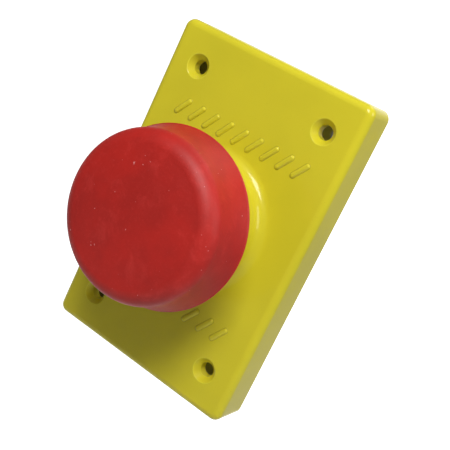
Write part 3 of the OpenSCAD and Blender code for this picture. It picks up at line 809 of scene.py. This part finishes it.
# %% Bushing
def make_bushing():
    """A sleeve with a flange, a thread from the flange to its front, and a bore for the stem. The
    bore has a room each for the O-ring and the detent spring, and one at the front for the wiper."""
    low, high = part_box("operator_bushing")
    flange_r, back, front = (high.x - low.x) / 2 / MM, -high.y / MM, -low.y / MM
    land_z = (seal_z + detent_z) / 2
    seal_bore = rounded_path([(bore_r, back, 0), (bore_r, seal_z - seal_room, 0.1),
                              (seal_room_r, seal_z - seal_room, 0.1),
                              (seal_room_r, seal_z + seal_room, 0.1),
                              (bore_r, seal_z + seal_room, 0.1), (bore_r, land_z, 0)])
    bore = rounded_path([(bore_r, land_z, 0), (bore_r, detent_z - detent_room, 0.1),
                         (detent_room_r, detent_z - detent_room, 0.1),
                         (detent_room_r, detent_z + detent_room, 0.1),
                         (bore_r, detent_z + detent_room, 0.1), (bore_r, wiper_z, 0.1),
                         (wiper_r, wiper_z, 0.1), (wiper_r, front, 0.3), (sleeve_r, front, 0.5),
                         (sleeve_r, front - 1, 0)])
    thread_z = np.linspace(front - 1, flange_top + 0.6, 110)
    screw = np.stack([np.full(len(thread_z), sleeve_r), thread_z], 1)
    flange = rounded_path([(sleeve_r, flange_top + 0.5, 0), (sleeve_r, flange_top, 0.2),
                           (flange_r, flange_top, 0.3), (flange_r, back, 0.3), (bore_r + 1, back, 0)])
    stack = rings(np.concatenate([bore, screw, flange, seal_bore]), steps=32)
    cut_thread(stack, slice(len(bore), len(bore) + len(screw)), thread_pitch, thread_depth)
    skin = Skin()
    skin.rings(stack, inside_out=True)
    skin.piece("bushing_turned", "cover_assembly", "die_cast_zinc", "operator_bushing")


make_bushing()


# %% Stem
def make_stem():
    """A ground rod with two ball grooves, whose hollows are round about the detent spring's wire,
    and a clip groove in its tail."""
    low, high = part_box("stem")
    radius, back, front = (high.x - low.x) / 2 / MM, -high.y / MM, -low.y / MM
    tail_r, tail_top, rod_low, rod_high, shoulder_top, thread_r = 3, 20.5, 24, 37, 40.5, 4
    clip_r, clip_back, clip_front = 2.3, 17.3, 18.1
    wire_ring_r, groove_r = 5.95, 1.45
    reach = math.acos((wire_ring_r - radius) / groove_r)
    turn = np.linspace(-reach, reach, 15)
    groove = np.stack([wire_ring_r - groove_r * np.cos(turn), detent_z + groove_r * np.sin(turn)], 1)
    tail = rounded_path([(0, back, 0), (tail_r, back, 0.3), (tail_r, clip_back, 0),
                         (clip_r, clip_back, 0), (clip_r, clip_front, 0), (tail_r, clip_front, 0),
                         (tail_r, tail_top, 0.1), (radius, tail_top, 0.4), (radius, rod_low, 0)])
    tip = rounded_path([(radius, rod_high, 0), (radius, shoulder_top, 0.4),
                        (thread_r, shoulder_top, 0.1), (thread_r, front, 0.6), (0, front, 0)])
    path = np.concatenate([tail, groove, groove + (0, travel / MM), tip])
    turned("stem_turned", "button", "zinc_steel", "stem", path)


make_stem()


# %% Seals and rings
def wire_ring(name, slot, node, wire_r):
    """A ring of round section that fills the node's box."""
    low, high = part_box(node)
    ring_r, height = (high.x - low.x) / 2 / MM - wire_r, -(low.y + high.y) / 2 / MM
    turn = np.linspace(0, 2 * np.pi, 21)
    path = np.stack([ring_r + wire_r * np.cos(turn), height + wire_r * np.sin(turn)], 1)
    turned(name, body_of_node[node], slot, node, path)


def washer(name, slot, node, hole_radius, rounding):
    """A flat ring with softened edges that fills the node's box."""
    low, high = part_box(node)
    rim, back, front = (high.x - low.x) / 2 / MM, -high.y / MM, -low.y / MM
    middle = (hole_radius + rim) / 2
    path = rounded_path([(middle, front, 0), (hole_radius, front, rounding),
                         (hole_radius, back, rounding), (rim, back, rounding),
                         (rim, front, rounding), (middle, front, 0)])
    turned(name, body_of_node[node], slot, node, path)


wire_ring("o_ring_moulded", "black_rubber", "stem_o_ring", 0.9)
wire_ring("detent_ring_wire", "spring_steel", "detent_spring", 1.25)
washer("ring_washer_moulded", "black_plastic", "ring_washer", sleeve_r, 0.25)
lip_r, seat_r, lip_z, seat_z = 5.05, 7.95, 33.95, 33.9
lip_path = rounded_path([(6.5, wiper_z, 0), (seat_r, wiper_z, 0.2), (seat_r, seat_z, 0.4),
                         (7.2, seat_z, 0.2), (6.4, 32.7, 0.3), (lip_r, lip_z, 0.1),
                         (lip_r, wiper_z, 0.2), (6.5, wiper_z, 0)])
turned("wiper_moulded", "cover_assembly", "black_rubber", "wiper_seal", lip_path)

# %% [markdown]
# ## Softened hardware
# Nothing that is stamped, moulded or cast has a knife edge. The remaining pieces keep the shape of
# the design: each is a copy of its mesh, with its triangles merged into flat faces again and a
# narrow bevel run along every sharp edge, so that it catches the light.

# %% Softened copies
flat_angle, shading_angle, bevel_angle = (math.radians(angle) for angle in (1, 32, 35))


def softened(node, width):
    """A copy of the node's mesh, merged and cleaned, with a bevel of that width in millimetres."""
    mesh = frame["nodes"][node].data.copy()
    mesh.name = f"{node}_softened"
    work = bmesh.new()
    work.from_mesh(mesh)
    bmesh.ops.remove_doubles(work, verts=work.verts, dist=MERGE_DISTANCE)
    bmesh.ops.dissolve_limit(work, angle_limit=flat_angle, verts=work.verts, edges=work.edges)
    work.to_mesh(mesh)
    work.free()
    mesh.shade_smooth()
    mesh.set_sharp_from_angle(angle=shading_angle)
    mesh.materials.clear()
    piece = stand_in(mesh, body_of_node[node], slot_of_node[node], node)
    bevel = piece.modifiers.new("softened_edges", "BEVEL")
    bevel.width = width * MM
    bevel.segments = 2
    bevel.limit_method = "ANGLE"
    bevel.angle_limit = bevel_angle
    bevel.harden_normals = True


edge_widths = {"cover_gasket": 0.3, "ground_screw": 0.25, "ground_washer": 0.15, "ring_nut": 0.3,
               "locating_pin": 0.2, "bushing_gasket": 0.2, "actuator_housing": 0.25,
               "housing_screws": 0.12, "nc_block_housing": 0.3, "nc_block_cover": 0.3,
               "nc_terminals": 0.12, "no_block_housing": 0.3, "no_block_cover": 0.3,
               "no_terminals": 0.12, "terminal_clamps": 0.15, "terminal_screws": 0.15,
               "block_screws": 0.15, "fixed_tips": 0.15, "actuator_plate": 0.25, "e_clip": 0.1,
               "cap_lock_washer": 0.12, "cap_insert": 0.3, "nc_plunger": 0.25, "nc_bridge": 0.12,
               "nc_moving_tips": 0.15, "no_plunger": 0.25, "no_bridge": 0.12,
               "no_moving_tips": 0.15}
for node_name, edge_width in edge_widths.items():
    softened(node_name, edge_width)
print(len(edge_widths), "pieces of hardware softened")

# %% [markdown]
# ## Floor and light
# A sweep of translucent white sheet, lit from behind as on a light table, so that it stays white
# and takes no hard shadow. Three soft boxes light the button: a small one near it, above and in
# front, a large one above on its right, and a large one above and behind it. They were placed by
# their angles, because soft light depends on little else: on where it comes from and on how wide
# it looks from the piece. A weak white world fills the shadows.

# %% Stage
def make_floor():
    """A floor that turns up into a back wall in one round sweep. It glows in one patch, which
    fades towards its edges: a product of smooth steps across, along and up the sheet."""
    drop_below_button = 0.45
    reach, wall_y, wall_h, bend_r = 3.0, 1.6, 3.0, 0.8
    floor_z = cad_box[0][2] - drop_below_button
    glow_fades = (("Y", 0.1, 0.3), ("X", 0.3, 0.12), ("X", -2.3, -1.9), ("Z", 0.7, 0.45))
    angle = np.radians(np.linspace(0, 90, 25))
    profile = np.vstack([[-reach, floor_z],
                         np.stack([wall_y - bend_r + bend_r * np.sin(angle),
                                   floor_z + bend_r - bend_r * np.cos(angle)], 1),
                         [wall_y, floor_z + wall_h]])
    left = np.hstack([np.full((len(profile), 1), -reach), profile])
    points = np.concatenate([left, left * (-1, 1, 1)])
    row = np.arange(len(profile) - 1)
    quads = np.stack([row, row + len(profile), row + len(profile) + 1, row + 1], 1)
    mesh = bpy.data.meshes.new("floor")
    mesh.from_pydata(points.tolist(), [], quads.tolist())
    mesh.shade_smooth()
    sheet = Finish("floor_sheet")
    pale = sheet.mix(sheet.noise(0.002, 2), (0.80, 0.80, 0.80, 1), (0.84, 0.84, 0.84, 1))
    patch = 1.0
    for axis, dark, lit in glow_fades:
        along = sheet.node("ShaderNodeSeparateXYZ", {}, {"Vector": sheet.place}, axis)
        patch = along.clamped(dark, lit) * patch
    glow = sheet.mix(patch, (0, 0, 0, 1), (1, 1, 1, 1))
    mesh.materials.append(sheet.surface(Base_Color=pale, Roughness=0.9, Emission_Strength=0.9,
                                        Emission_Color=glow))
    floor = bpy.data.objects.new("floor", mesh)
    bpy.context.scene.collection.objects.link(floor)


def softbox(name, direction, distance, size, power):
    """A square light panel in that direction from the button, facing it."""
    data = bpy.data.lights.new(name, "AREA")
    data.size = size
    data.energy = power
    lamp = bpy.data.objects.new(name, data)
    lamp.location = Vector(direction).normalized() * distance
    lamp.rotation_euler = Vector(direction).to_track_quat("Z", "Y").to_euler()
    bpy.context.scene.collection.objects.link(lamp)


ambient_light = 0.17
make_floor()
softbox("softbox_front", (0.2, -0.66, 0.7), 0.72, 0.29, 4.2)
softbox("softbox_right", (0.8, 0, 0.45), 1.2, 0.6, 4.0)
softbox("softbox_rear", (0.1, 0.6, 1.0), 1.2, 0.6, 2.6)
world = bpy.data.worlds.new("studio")
world.use_nodes = True
world.node_tree.nodes["Background"].inputs["Color"].default_value = (1, 1, 1, 1)
world.node_tree.nodes["Background"].inputs["Strength"].default_value = ambient_light
bpy.context.scene.world = world
bpy.context.scene.view_settings.view_transform = "Standard"

# %% [markdown]
# ## Close

# %% Close
print("scene finished")
